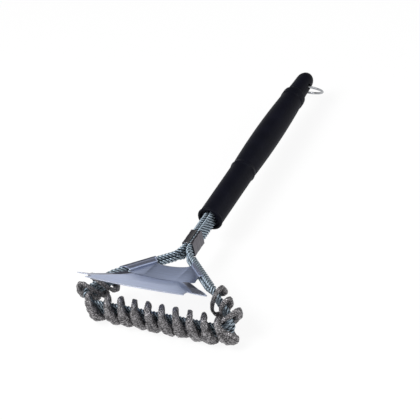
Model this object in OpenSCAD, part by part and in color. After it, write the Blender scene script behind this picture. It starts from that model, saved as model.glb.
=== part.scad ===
// Grill cleaning brush: a bristle-free head of woven steel mesh wound on a triangle of
// three wire ropes, with a sheet steel scraper and a hollow moulded handle.
//
// The brush lies on its back with the scraper up. X runs along the row of mesh loops, Y runs
// along the handle towards its hanging ring, and Z is up. All modules below are drawn with
// the handle's axis on Y and its mouth at Y = 0; lay() then brings the middle of the
// underside to the origin.

/* [Handle] */
// Length of the hollow grip, from its mouth to the end cap
grip_length = 255; // [220:1:300]
// Diameter of the grip's lower section at the mouth
grip_mouth_d = 28.8; // [28:0.1:32]
// Diameter of the grip's swelling, at its widest
grip_swell_d = 32.8; // [31:0.1:36]
// Distance from the mouth to the raised ring between the two sections
grip_ring_y = 92; // [70:1:110]
// Bore that holds the core
core_bore_d = 24; // [23:0.1:24.5]
// Length of the core that grips the rope ends
core_length = 45; // [30:1:60]
// Length of the end cap outside the grip
cap_length = 47; // [44:1:55]
// Diameter of the end cap where it leaves the grip
cap_d = 24.4; // [23:0.1:26]

/* [Hanging ring] */
// Mean radius of the ring
ring_radius = 21; // [19:0.5:24]
// Thickness of the ring's wire
ring_wire_d = 3; // [2:0.1:3.5]
// Distance from the grip's end to the ring's hole
ring_hole_y = 22; // [18:0.5:24]
// Angle of the ring below the handle's axis
ring_droop = 46; // [0:1:90]

/* [Wire frame] */
// Diameter of one twisted wire rope
rope_d = 5.6; // [4.5:0.1:6]
// Angle between the row and the line from each corner to the fork
arm_angle = 40; // [38:1:46]
// How far the arms bow towards the row at their middle
arm_bow = 4; // [0:0.5:6]
// How far the arms rise in front of the handle's axis at their middle
arm_lift = 4; // [0:0.5:6]
// Distance from the handle's mouth to the fork
fork_y = 60; // [50:1:70]
// Distance from the handle's mouth to the row of mesh loops
row_y = 142.4; // [130:0.2:160]
// How far the row sits behind the handle's axis
row_setback = 19.3; // [10:0.1:24]
// Bend radius of the ropes at the two corners
corner_radius = 9; // [8:0.5:11]

/* [Mesh coil] */
// Turns of the coil between the two corners
row_turns = 10; // [8:2:12]
// Width of the flattened mesh sleeve where it is pinched, along the rope
mesh_width = 6.6; // [5:0.1:7]
// How much wider the sleeve spreads on the scrubbing side
mesh_spread = 6.6; // [0:0.1:8]
// Outer reach of a loop from the rope bundle's middle, across the frame
loop_reach = 12.3; // [11:0.1:13]
// Outer reach of a loop from the rope bundle's middle, front to back
loop_depth = 18.3; // [17:0.1:19.5]

/* [Scraper] */
// Thickness of the scraper's sheet
sheet_t = 1.2; // [0.8:0.1:1.6]
// Width of the scraper between its two longest tips
blade_width = 154; // [130:1:170]
// Slope of the blade from the plane of the handle
blade_slope = 31; // [20:1:40]
// Distance from the fork to the crease between bracket and blade
bracket_length = 57; // [52:1:62]

/* [Crimped sleeves] */
// Length of the sleeve round the ropes at the neck
neck_sleeve_length = 22.5; // [16:0.5:26]
// Wall of both sleeves
sleeve_wall = 0.8; // [0.6:0.1:1.2]

/* [Hidden] */
$fn = 64;
black = [0.11, 0.11, 0.13];
dark_grey = [0.2, 0.2, 0.22];
steel = [0.62, 0.66, 0.72];
bright_steel = [0.78, 0.81, 0.84];
mesh_grey = [0.38, 0.37, 0.38];

// ---- Derived sizes -------------------------------------------------------------------

fit_gap = 0.02;                       // running gap between a press-in part and its bore
rope_gap = 0.1;                       // between neighbouring ropes
rope_step = rope_d + rope_gap;        // from one rope's middle to the next
rope_sides = 10;
stack_half_w = rope_step / 2 + rope_d / 2;
stack_half_d = rope_step + rope_d / 2;
crease_y = fork_y + bracket_length;
rope_end_y = core_length + 16;        // where the ropes end inside the handle
core_face_y = 4;                      // the core sits this far inside the mouth

cap_hole_y = grip_length + ring_hole_y;
cap_bore_d = 20;                      // bore that takes the end cap's spigot
spigot_length = 18;

arm_reach = (row_y - fork_y) / tan(arm_angle);
corner_x = rope_step / 2 + arm_reach;
lean_x = 0.573 * corner_x;            // where the arms start to lean back
lean_y = fork_y + (lean_x - rope_step / 2) * tan(arm_angle) + arm_bow;
near_angle = atan2(lean_y - fork_y, lean_x - rope_step / 2);  // slope of the arms at the fork
fork_radius = 17;                     // bend radius of the ropes at the fork
fork_tangent = fork_radius * tan(45 - near_angle / 2);
neck_sleeve_y = fork_y - fork_tangent - neck_sleeve_length;

flat_depth = 0.5;                     // the loops are cut flat by this where they stand
z_floor = -row_setback - loop_depth + flat_depth;

// The ring threads the cap's hole on a chord, so its middle is nearer than its radius
ring_sag = (ring_radius - sqrt(pow(ring_radius, 2) - pow(cap_d / 2, 2))) / 2;
ring_offset = ring_radius - ring_sag;
ring_hole_d = 2 * ring_sag + ring_wire_d + 0.9;

blade_length = 54;                    // from the crease to the middle of the front edge
blade_y = crease_y + blade_length * cos(blade_slope);
ring_y = cap_hole_y + ring_offset * cos(ring_droop) + ring_radius * cos(ring_droop)
         + ring_wire_d / 2;

module lay() {
    translate([0, (blade_y - ring_y) / 2, -z_floor]) children();
}

// ---- Vectors and paths ---------------------------------------------------------------

function unit(v) = v / norm(v);
function flat_list(lists) = [for (part = lists) each part];

// A round bend of the given radius at corner b of the path a, b, c
function bend(a, b, c, radius, steps) =
    let (u = unit(a - b), w = unit(c - b),
         half = acos(u * w) / 2,
         centre = b + unit(u + w) * radius / sin(half),
         x = unit(b + u * radius / tan(half) - centre),
         sweep = 180 - 2 * half)
    [for (i = [0:steps]) let (t = i * sweep / steps) centre + radius * (x * cos(t) - u * sin(t))];

function mirror_x(points) =
    [for (i = [len(points) - 1:-1:0]) [-points[i][0], points[i][1], points[i][2]]];

// ---- The middle line of the three ropes ----------------------------------------------

fork_point = [rope_step / 2, -fork_y, 0];
lean_point = [lean_x, -lean_y, arm_lift];
corner_point = [corner_x, -row_y, -row_setback];
row_point = [0, -row_y, -row_setback];
top_point = [rope_step / 2, rope_end_y, 0];

// Right half, from the middle of the row to the end in the handle
right_half = flat_list([
    [row_point],
    bend(row_point, corner_point, lean_point, corner_radius, 13),
    bend(corner_point, lean_point, fork_point, 60, 10),
    [for (f = [0.25, 0.2, 0.15]) fork_point + f * (lean_point - fork_point)],
    bend(lean_point, fork_point, top_point, fork_radius, 7),
    [top_point]]);
middle_line = concat(mirror_x([for (i = [1:len(right_half) - 1]) right_half[i]]), right_half);

function tangent(points, i) =
    unit(points[min(i + 1, len(points) - 1)] - points[max(i - 1, 0)]);
function depth_normal(t) = unit([0, 0, 1] - t[2] * t);

module tube(points, radius) {
    n = len(points);
    rings = [for (i = [0:n - 1])
        let (t = tangent(points, i), d = depth_normal(t), b = cross(t, d))
        for (j = [0:rope_sides - 1]) let (a = j * 360 / rope_sides)
            points[i] + radius * (b * cos(a) + d * sin(a))];
    walls = [for (i = [0:n - 2], j = [0:rope_sides - 1]) let (k = (j + 1) % rope_sides)
        [i * rope_sides + j, i * rope_sides + k, (i + 1) * rope_sides + k, (i + 1) * rope_sides + j]];
    caps = [[for (j = [rope_sides - 1:-1:0]) j],
            [for (j = [0:rope_sides - 1]) (n - 1) * rope_sides + j]];
    polyhedron(rings, concat(walls, caps), convexity = 6);
}

// The ropes lie in a stack in the handle, the neck and the row. In each arm the two behind
// swing out to both sides, so that the three form a triangle there: 0 is a stack, 1 a triangle
stack_past = 40;                      // the stack reaches this far past a corner
stack_change = 16;                    // length over which it changes to a triangle
fork_change = 13;                     // the same beside the fork, measured across
function spread(i) =
    min(lookup(abs(line_s[i]) - corner_s, [[stack_past, 0], [stack_past + stack_change, 1]]),
        lookup(abs(middle_line[i][0]) - rope_step / 2, [[0.3, 0], [fork_change, 1]]));

// Places of the front, middle and back rope, towards the inside of the frame and forwards
function rope_place(layer, spread) =
    let (front = [0, 1 - spread * (1 - 1 / sqrt(3))],
         middle = front + [sin(30 * spread), -cos(30 * spread)],
         back = middle - [sin(90 * spread), cos(90 * spread)])
    rope_step * [back, middle, front][layer + 1];

module rope(layer) {
    offset_line = [for (i = [0:len(middle_line) - 1])
        let (t = tangent(middle_line, i), n = depth_normal(t), place = rope_place(layer, spread(i)))
        middle_line[i] + cross(n, t) * place[0] + n * place[1]];
    tube(offset_line, rope_d / 2);
}

module front_rope() { color(steel) lay() rope(1); }
module middle_rope() { color(steel) lay() rope(0); }
module back_rope() { color(steel) lay() rope(-1); }

// ---- The mesh coil -------------------------------------------------------------------

// Distance along the middle line, from the middle of the row, at each of its points
function running(points, i = 0, total = 0) =
    i >= len(points) ? []
    : let (here = i == 0 ? 0 : total + norm(points[i] - points[i - 1]))
      concat([here], running(points, i + 1, here));
line_s = [for (s = running(middle_line)) s - running(middle_line)[len(middle_line) - 1] / 2];
line_n = [for (i = [0:len(middle_line) - 1]) depth_normal(tangent(middle_line, i))];
function along(s, values) =
    [for (k = [0:2]) lookup(s, [for (i = [0:len(line_s) - 1]) [line_s[i], values[i][k]]])];

corner_angle = acos(unit(lean_point - corner_point) * unit(row_point - corner_point));
half_corner = (90 - corner_angle / 2) * PI / 180 * corner_radius;
corner_tangent = corner_radius / tan(corner_angle / 2);
corner_s = corner_x - corner_tangent + half_corner;     // the middle of each corner

// Turns past a corner and how far they are from the corner's middle
arm_turns = [[0, 0.6], [1, 15.6], [2.5, 35.6]];
half_turns = row_turns / 2;
first_space = 27.6;                             // from the first corner turn to the next
last_space = 17.1;                              // from the last corner turn to the one before

// Where each whole turn passes the inside of the frame: even along the row, and spread to
// suit the corners and the arms
turn_places = concat(
    [for (k = [2:-1:0]) [-half_turns - arm_turns[k][0], -corner_s - arm_turns[k][1]]],
    [[1 - half_turns, first_space - corner_s - arm_turns[0][1]],
     [half_turns - 1, corner_s + arm_turns[0][1] - last_space]],
    [for (k = [0:2]) [half_turns + arm_turns[k][0], corner_s + arm_turns[k][1]]]);
last_turn = half_turns + arm_turns[2][0];
first_turn = -last_turn;
rings_per_turn = 24;
mesh_sides = 6;

// Inside of the loops, across the frame and front to back, which is wider round a corner
function near_corner(s, length) = exp(-pow((abs(s) - corner_s) / length, 2));
function inner_w(s) = rope_d / 2 + 1.5 + near_corner(s, 12);
function inner_d(s) = stack_half_d + 1.6 + near_corner(s, 12);

// Reach of a loop on the inside of the frame, which the other side of a corner limits
function inner_reach(s) =
    let (past = max(0, abs(abs(s) - corner_s) - half_corner),
         room = tan(corner_angle / 2) * (corner_tangent + past - mesh_width / 2) - 0.4)
    min(loop_reach, max(8, room));
// Reach on the outside, where the loops bulge round a corner
function outer_reach(s) = loop_reach + 3 * near_corner(s, 14);
// Width of the sleeve, which spreads at the front of the underside, and less on the arms
function sleeve_width(s, angle) =
    mesh_width + mesh_spread * lookup(abs(s), [[corner_s, 1], [corner_s + 15, 0.35]])
                 * pow((1 + cos(angle - 225)) / 2, 2);

function coil_ring(turn) =
    let (s = lookup(turn, turn_places),
         middle = along(s, middle_line),
         n = unit(along(s, line_n)),
         ahead = along(s + 0.5, middle_line) - along(s - 0.5, middle_line),
         t = unit(ahead),
         inner = unit(cross(n, t)),
         angle = 360 * turn,
         reach = cos(angle) > 0 ? inner_reach(s) : outer_reach(s),
         w = (inner_w(s) + reach) / 2,
         d = (inner_d(s) + loop_depth) / 2,
         thick = sqrt(pow((reach - inner_w(s)) / 2 * cos(angle), 2)
                      + pow((loop_depth - inner_d(s)) / 2 * sin(angle), 2)),
         out = unit(inner * cos(angle) * d + n * sin(angle) * w),
         place = middle + inner * w * cos(angle) + n * d * sin(angle))
    [for (j = [0:mesh_sides - 1]) let (a = j * 360 / mesh_sides)
        place + out * thick * cos(a) + t * sleeve_width(s, angle) / 2 * sin(a) / sin(60)];

coil_steps = (last_turn - first_turn) * rings_per_turn;
coil_rings = [for (i = [0:coil_steps]) coil_ring(first_turn + i / rings_per_turn)];

// Least distance between points of the coil that are over half a turn apart
coil_gap = min([for (i = [0:coil_steps - 14], j = [i + 14:min(i + 60, coil_steps)])
    norm(coil_rings[i][0] - coil_rings[j][0]) > 14 ? 99
    : min([for (p = coil_rings[i], q = coil_rings[j]) norm(p - q)])]);
echo(coil_gap = coil_gap);

module mesh_coil() {
    walls = [for (i = [0:coil_steps - 1], j = [0:mesh_sides - 1])
        let (k = (j + 1) % mesh_sides)
        [i * mesh_sides + j, i * mesh_sides + k,
         (i + 1) * mesh_sides + k, (i + 1) * mesh_sides + j]];
    caps = [[for (j = [mesh_sides - 1:-1:0]) j],
            [for (j = [0:mesh_sides - 1]) coil_steps * mesh_sides + j]];
    color(mesh_grey) lay() difference() {
        polyhedron(flat_list(coil_rings), concat(walls, caps), convexity = 10);
        translate([-1.5 * corner_x, -1.5 * row_y, z_floor - 20])
            cube([3 * corner_x, 1.5 * row_y, 20]);
    }
}

// ---- The two crimped sleeves ---------------------------------------------------------

sleeve_corner_r = 1.6;
seam_x = 2.6;                         // the seam is on the scraper's side, off the middle
seam_gap = 0.5;

module rounded_box_2d(w, d, r) {
    square([w - 2 * r, d], center = true);
    square([w, d - 2 * r], center = true);
    for (x = [-1, 1], y = [-1, 1]) translate([x * (w / 2 - r), y * (d / 2 - r)]) circle(r);
}

// A folded sheet sleeve round the six ropes, running towards -Y from the given place
module crimped_sleeve(y, length) {
    w = 2 * stack_half_w + 0.2;
    d = 2 * stack_half_d + 0.2;
    translate([0, y, 0]) rotate([90, 0, 0]) linear_extrude(length) difference() {
        rounded_box_2d(w + 2 * sleeve_wall, d + 2 * sleeve_wall, sleeve_corner_r);
        rounded_box_2d(w, d, sleeve_corner_r - sleeve_wall);
        translate([seam_x, 0]) square([seam_gap, d]);
    }
}

module neck_sleeve() {
    color(steel) lay() crimped_sleeve(-neck_sleeve_y, neck_sleeve_length);
}
module inner_ferrule() {
    color(steel) lay() crimped_sleeve(core_face_y + core_length + 10.1, 10);
}

// ---- The handle ----------------------------------------------------------------------

module turned() { rotate([-90, 0, 0]) rotate_extrude() children(); }

lip_r = 2.2;
mouth_bore_r = 12.8;
collar_r = 15;
ring_bead_r = 3.2;
collar_y = grip_length - 14;
swell_y = (grip_ring_y + collar_y) / 2 - 4;
waist_r = 14.2;

function bead(y, base, rise, half, steps) =
    [for (i = [0:steps]) let (a = 180 * i / steps)
        [base + rise * sin(a), y - half * cos(a)]];
function swell(y) =
    grip_swell_d / 2 - (grip_swell_d / 2 - waist_r) * pow((y - swell_y) / (collar_y - swell_y), 2);

grip_outline = flat_list([
    bead(lip_r, 13, lip_r, lip_r, 8),
    [[grip_mouth_d / 2, 2 * lip_r + 2.6], [grip_mouth_d / 2 + 0.3, grip_ring_y - ring_bead_r]],
    bead(grip_ring_y, grip_mouth_d / 2 + 0.3, 0.9, ring_bead_r, 6),
    [for (i = [1:16]) let (y = grip_ring_y + 5 + i * (collar_y - grip_ring_y - 5) / 16)
        [swell(y), y]],
    [[collar_r, collar_y + 2.5], [collar_r, grip_length - 5],
     [collar_r - 0.4, grip_length - 2], [collar_r - 1.6, grip_length]]]);

module handle_grip() {
    step_y = core_face_y + core_length + 22;
    color(black) lay() turned() polygon(concat(grip_outline,
        [[cap_bore_d / 2, grip_length], [cap_bore_d / 2, step_y], [core_bore_d / 2, step_y],
         [core_bore_d / 2, core_face_y], [mouth_bore_r, 0]]));
}

module handle_core() {
    color(dark_grey) lay() difference() {
        translate([0, core_face_y, 0]) rotate([-90, 0, 0])
            cylinder(h = core_length, d = core_bore_d - 2 * fit_gap);
        translate([0, core_face_y - 1, 0]) rotate([-90, 0, 0]) linear_extrude(core_length + 2)
            square([2 * stack_half_w + 0.1, 2 * stack_half_d + 0.1], center = true);
    }
}

cap_dome_y = grip_length + cap_length - 16;
cap_outline = flat_list([
    [[0, grip_length - spigot_length], [cap_bore_d / 2 - fit_gap - 0.8, grip_length - spigot_length],
     [cap_bore_d / 2 - fit_gap, grip_length - spigot_length + 1.5],
     [cap_bore_d / 2 - fit_gap, grip_length], [cap_d / 2, grip_length]],
    [for (i = [0:12]) let (a = 90 * i / 12)
        [(cap_d / 2 - 1) * cos(a), cap_dome_y + 16 * sin(a)]]]);

module end_cap() {
    color(black) lay() difference() {
        turned() polygon(cap_outline);
        translate([-20, cap_hole_y, 0]) rotate([0, 90, 0]) cylinder(h = 40, d = ring_hole_d);
    }
}

// A round wire ring with a butt joint at its far side, hanging in the cap's hole
module hanging_ring() {
    joint_angle = 1;
    color(bright_steel) lay() translate([0, cap_hole_y, 0]) rotate([-ring_droop, 0, 0])
        translate([0, ring_offset, 0]) rotate([0, 0, 90 + joint_angle / 2])
            rotate_extrude(angle = 360 - joint_angle)
                translate([ring_radius, 0]) circle(d = ring_wire_d, $fn = 32);
}

// ---- The scraper ---------------------------------------------------------------------

// One pressed sheet. From the crease to the front edge its height is a function of x and of
// the distance q from the mouth.
crease_z = 15.5;                      // height of the crease's back above the handle's axis
neck_half = blade_width / 4;          // half width at the crease
tip_half = blade_width / 2;
notch_share = 0.72;                   // the notches' place between the middle and a tip
notch_half = notch_share * tip_half;
notch_q = crease_y + 31.5;
crease_bow = 3.8;                     // how much lower the crease is at its middle
side_press = 4.4;                     // how far the sides are pressed back

// The press fades towards the crease and the front edge, and starts nearer the middle at
// the crease than it does at the notches
function press_depth(q) =
    side_press * lookup(q, [[crease_y, 0], [crease_y + 8, 1], [crease_y + 20, 1],
                            [notch_q, 0.2], [notch_q + 12, 0]]);
function bow(x, q) =
    crease_bow * lookup(q, [[crease_y, 1], [crease_y + 25, 0]])
               * max(0, 1 - pow(x / neck_half, 2));
function press_start(q) = lookup(q, [[crease_y, 20], [notch_q, notch_half - 5]]);
function smooth(t) = let (c = min(1, max(0, t))) c * c * (3 - 2 * c);
function sheet_height(x, q) =
    crease_z + (q - crease_y) * tan(blade_slope) - bow(x, q)
    - press_depth(q) * smooth((abs(x) - press_start(q)) / 16);

// A wing at each side is rolled over the front rope of the arm, from the inside of the frame
wing_end_x = 47;
roll_r = rope_d / 2 + 0.1;            // inside of the rolls
roll_angles = [for (a = [105:-15:15]) a];
foot = 5.5;                           // from the rope's middle to the flat part beside it
scallop_depth = 4.6;                  // how far the top edge is cut back between the wings

// Point at an angle round the front rope, from the level of its middle on the inside
function roll_point(share, angle, distance) =
    let (x = abs(share) * wing_end_x,
         out = (x - rope_step / 2) / (lean_x - rope_step / 2),
         flat = distance * cos(angle))
    [sign(share) * (x - flat * sin(near_angle)),
     -(fork_y + out * (lean_y - fork_y)) - flat * cos(near_angle),
     out * arm_lift + rope_step / sqrt(3) + distance * sin(angle)];

// The top edge of the flat part: beside the rolls at the wings, and round between them
function top_edge(share) =
    let (wing = roll_point(abs(share) < 0.5 ? 0.5 : share, 0, foot) - [0, 0, sheet_t / 2])
    abs(share) >= 0.5 ? wing
    : [2 * share * wing[0], wing[1] - scallop_depth * sqrt(1 - pow(2 * share, 2)), wing[2]];

// Columns of the sheet, as shares of a row's half width: the wings end on the columns 6
// and 18, and the part in front of the notches on the columns 3 and 21
last_column = 24;
shares = [for (j = [0:last_column])
    lookup(j, [[0, -1], [3, -notch_share], [6, -0.5], [18, 0.5], [21, notch_share], [24, 1]])];
function is_wing(j) = j < 6 || j >= 18;
function is_front(j) = j >= 3 && j < 21;

// Rows between the top edge and the crease, as shares of the way
bracket_rows = [0, 0.25, 0.5, 0.75];
// Rows from the crease on: half width and distance from the mouth
sheet_rows = [[neck_half, crease_y], [neck_half + 8, crease_y + 5],
    [neck_half + 17, crease_y + 10.5], [neck_half + 26, crease_y + 17.5],
    [neck_half + 34, crease_y + 25], [tip_half, notch_q]];
// Rows in front of the notches: half width, distance from the mouth, and rise of their middle
front_rows = [[notch_half + 0.2, notch_q + 2, 0], [notch_half + 0.8, notch_q + 5.5, 1],
              [notch_half + 3, blade_y - 4, 4]];

// Upper and lower point of the sheet, from its lower point
function sheet_pair(point) = [point + [0, 0, sheet_t], point];
function sheet_point(x, q) = [x, -q, sheet_height(x, q)];

sheet_grid = concat(
    [for (angle = roll_angles) [for (f = shares)
        [roll_point(f, angle, roll_r + sheet_t), roll_point(f, angle, roll_r)]]],
    [for (way = bracket_rows) [for (f = shares)
        sheet_pair((1 - way) * top_edge(f) + way * sheet_point(f * neck_half, crease_y))]],
    [for (r = sheet_rows) [for (f = shares) sheet_pair(sheet_point(f * r[0], r[1]))]],
    [for (r = front_rows) [for (f = shares)
        let (g = f / notch_share) sheet_pair(sheet_point(g * r[0], r[1] + r[2] * (1 - g * g)))]]);
wing_rows = len(roll_angles);
full_rows = wing_rows + len(bracket_rows) + len(sheet_rows) - 1;
all_rows = full_rows + len(front_rows);

// Whether the sheet has a field between rows i and i + 1 and columns j and j + 1
function is_sheet(i, j) =
    i >= 0 && i < all_rows && j >= 0 && j < last_column
    && (i < wing_rows ? is_wing(j) : i < full_rows ? true : is_front(j));

module scraper() {
    columns = last_column + 1;
    half = (all_rows + 1) * columns;
    points = flat_list([for (side = [0, 1]) [for (row = sheet_grid, pair = row) pair[side]]]);
    fields = [for (i = [0:all_rows - 1], j = [0:last_column - 1]) if (is_sheet(i, j))
        let (a = i * columns + j) [a, a + 1, a + columns + 1, a + columns]];
    upper = flat_list([for (f = fields) [[f[0], f[1], f[2]], [f[0], f[2], f[3]]]]);
    lower = [for (f = upper) [half + f[2], half + f[1], half + f[0]]];
    rim = [for (i = [0:all_rows - 1], j = [0:last_column - 1]) if (is_sheet(i, j))
        let (a = i * columns + j, b = a + columns)
        each concat(is_sheet(i - 1, j) ? [] : [[a, a + 1]],
                    is_sheet(i, j + 1) ? [] : [[a + 1, b + 1]],
                    is_sheet(i + 1, j) ? [] : [[b + 1, b]],
                    is_sheet(i, j - 1) ? [] : [[b, a]])];
    edge = [for (e = rim) [e[1], e[0], half + e[0], half + e[1]]];
    color(bright_steel) lay() polyhedron(points, concat(upper, lower, edge), convexity = 6);
}

// ---- Output --------------------------------------------------------------------------

handle_grip();
handle_core();
inner_ferrule();
end_cap();
hanging_ring();
neck_sleeve();
front_rope();
middle_rope();
back_rope();
mesh_coil();
scraper();
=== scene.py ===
"""Grill cleaning brush: twisted wire frame, woven steel mesh, pressed scraper and moulded handle.

All lengths inside the builders are millimetres in the handle's own frame: the handle's axis
on Y with its mouth at Y = 0, X along the row of mesh loops and Z towards the scraper. The
finished pieces are moved to the frame's place and written in metres.
"""

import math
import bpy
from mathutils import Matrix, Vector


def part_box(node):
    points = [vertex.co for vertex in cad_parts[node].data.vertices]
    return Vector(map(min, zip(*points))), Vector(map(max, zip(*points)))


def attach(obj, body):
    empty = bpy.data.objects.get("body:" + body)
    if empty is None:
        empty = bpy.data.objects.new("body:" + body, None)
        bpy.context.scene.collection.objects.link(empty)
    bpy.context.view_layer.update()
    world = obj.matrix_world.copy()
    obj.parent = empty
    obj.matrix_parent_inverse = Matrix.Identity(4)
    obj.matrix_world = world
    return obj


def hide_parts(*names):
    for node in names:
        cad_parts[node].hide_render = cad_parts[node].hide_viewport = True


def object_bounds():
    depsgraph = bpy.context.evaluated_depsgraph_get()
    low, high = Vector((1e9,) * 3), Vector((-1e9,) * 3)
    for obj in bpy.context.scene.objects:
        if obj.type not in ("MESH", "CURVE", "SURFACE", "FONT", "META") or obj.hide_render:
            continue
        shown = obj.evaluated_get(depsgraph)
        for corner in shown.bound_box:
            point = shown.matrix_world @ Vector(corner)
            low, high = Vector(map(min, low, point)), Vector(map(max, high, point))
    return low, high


bl_info = {
    "name": "Grill Cleaning Brush",
    "version": (1, 0, 0),
    "blender": (4, 5, 0),
    "location": "3D View > Sidebar > Grill Brush",
    "description": "Builds a bristle-free grill cleaning brush and its studio",
    "category": "Add Mesh",
}

import bmesh
import bpy
import numpy as np
from bpy.props import FloatProperty, FloatVectorProperty, IntProperty, PointerProperty
from mathutils import Matrix, Vector

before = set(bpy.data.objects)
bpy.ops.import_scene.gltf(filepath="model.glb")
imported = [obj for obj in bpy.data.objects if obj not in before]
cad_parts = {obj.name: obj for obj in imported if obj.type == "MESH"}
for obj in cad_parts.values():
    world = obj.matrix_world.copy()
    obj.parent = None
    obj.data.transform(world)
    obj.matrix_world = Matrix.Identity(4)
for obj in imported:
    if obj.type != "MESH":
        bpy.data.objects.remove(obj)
CAD_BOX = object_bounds()

GRIP_LOW, GRIP_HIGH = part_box("handle_grip")
AXIS_HEIGHT = (GRIP_LOW[2] + GRIP_HIGH[2]) / 2
MOUTH = Vector((0.0, GRIP_LOW[1], AXIS_HEIGHT))
MM = 0.001

# ---- The frame's construction values, in millimetres ----

ROPE_STEP = 5.7
ROPE_D = 5.6
ARM_ANGLE = math.radians(40)
ARM_BOW = 4.0
ARM_LIFT = 4.0
FORK_Y = 60.0
FORK_R = 17.0
ROW_Y = 142.4
ROW_SETBACK = 19.3
CORNER_R = 9.0
LEAN_R = 60.0
ROPE_END_Y = 61.0
CORNER_X = ROPE_STEP / 2 + (ROW_Y - FORK_Y) / math.tan(ARM_ANGLE)
LEAN_X = 0.573 * CORNER_X
LEAN_Y = FORK_Y + (LEAN_X - ROPE_STEP / 2) * math.tan(ARM_ANGLE) + ARM_BOW
NEAR_ANGLE = math.atan2(LEAN_Y - FORK_Y, LEAN_X - ROPE_STEP / 2)
STACK_HALF_W = ROPE_STEP / 2 + ROPE_D / 2
STACK_HALF_D = ROPE_STEP + ROPE_D / 2
FLOOR_Z = (CAD_BOX[0][2] - AXIS_HEIGHT) / MM

# Corner points of the ropes' middle line, from the handle to the middle of the row
TOP = np.array([ROPE_STEP / 2, ROPE_END_Y, 0.0])
FORK = np.array([ROPE_STEP / 2, -FORK_Y, 0.0])
LEAN = np.array([LEAN_X, -LEAN_Y, ARM_LIFT])
CORNER = np.array([CORNER_X, -ROW_Y, -ROW_SETBACK])
ROW = np.array([0.0, -ROW_Y, -ROW_SETBACK])


def unit(v):
    """Vectors of length one, for one vector or for rows of them."""
    v = np.asarray(v, dtype=float)
    return v / np.linalg.norm(v, axis=-1, keepdims=True)


def smooth_step(t):
    """0 up to t = 0, 1 from t = 1 on, smooth in between."""
    t = np.clip(t, 0.0, 1.0)
    return t * t * (3 - 2 * t)


def square_to(v, ahead):
    """Rows of v made square to the directions ahead, and of length one."""
    return unit(v - np.sum(v * ahead, axis=-1, keepdims=True) * ahead)


def run_along(line):
    """How far along a line each of its points lies."""
    return np.concatenate([[0], np.cumsum(np.linalg.norm(np.diff(line, axis=0), axis=1))])


def resample(s, places, values):
    """Rows of values at s, from the rows known at the given places."""
    return np.stack([np.interp(s, places, column) for column in values.T], axis=-1)


# ---- Mesh building ----


def grid_faces(rows, cols, wrap_rows=False):
    """Quads over rows of points that close on themselves, as do the rows if asked."""
    last_row = rows if wrap_rows else rows - 1
    i, j = np.meshgrid(np.arange(last_row), np.arange(cols), indexing="ij")
    i2, j2 = (i + 1) % rows, (j + 1) % cols
    quads = np.stack([i * cols + j, i * cols + j2, i2 * cols + j2, i2 * cols + j], axis=-1)
    return quads.reshape(-1, 4)


def tube_faces(rows, sides, base=0):
    """Walls and end faces of a closed tube whose points start at base."""
    first, last = np.arange(sides) + base, np.arange(sides) + base + (rows - 1) * sides
    return (grid_faces(rows, sides) + base).tolist() + [first[::-1].tolist(), last.tolist()]


def add_piece(name, points, faces, finish, body, replaced, tint, uv=None, period=None):
    """Makes a mesh piece from points in millimetres and ties it to its body.

    Each point's tint tells the finish how worn it is, and on some pieces where it paints shade, a
    highlight or a dark reflection. A woven or twisted piece also has its surface coordinates, and
    the period after which the second of them starts again.
    """
    points = np.asarray(points, dtype=float).reshape(-1, 3) * MM + np.array(MOUTH)
    mesh = bpy.data.meshes.new(name)
    mesh.from_pydata(points.tolist(), [], [list(map(int, f)) for f in faces])
    mesh.validate(clean_customdata=False)
    if uv is not None:
        layer = mesh.uv_layers.new(name="UVMap")
        corner = np.empty(len(mesh.loops), dtype=np.int32)
        mesh.loops.foreach_get("vertex_index", corner)
        coords = np.asarray(uv, dtype=np.float32).reshape(-1, 2)[corner]
        layer.data.foreach_set("uv", close_seam(mesh, coords, period).ravel())
    colour = mesh.color_attributes.new("Tint", "FLOAT_COLOR", "POINT")
    values = np.ones((len(mesh.vertices), 4), dtype=np.float32)
    values[:, :3] = np.asarray(tint, dtype=np.float32).reshape(-1, 1)
    colour.data.foreach_set("color", values.ravel())
    mesh.polygons.foreach_set("use_smooth", [True] * len(mesh.polygons))
    mesh.materials.append(finish)
    piece = bpy.data.objects.new(name, mesh)
    bpy.context.scene.collection.objects.link(piece)
    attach(piece, body)
    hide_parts(*replaced)
    return piece


def close_seam(mesh, coords, period):
    """Brings the corners of faces that cross the seam of V onto one side of it."""
    for face in mesh.polygons:
        v = coords[face.loop_start:face.loop_start + face.loop_total, 1]
        if v.max() - v.min() > period / 2:
            v[v < v.max() - period / 2] += period
    return coords


def fix_normals(piece):
    """Turns every face of a closed mesh outwards."""
    shape = bmesh.new()
    shape.from_mesh(piece.data)
    bmesh.ops.recalc_face_normals(shape, faces=shape.faces)
    shape.to_mesh(piece.data)
    shape.free()


def round_edges(piece, width):
    """Rounds the sharp edges of a sheet piece over a width in millimetres."""
    edge = piece.modifiers.new("Edge", "BEVEL")
    edge.width = width * MM
    edge.segments = 2
    edge.limit_method = "ANGLE"
    edge.angle_limit = math.radians(40)
    return edge


# ---- Shader building ----


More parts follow.
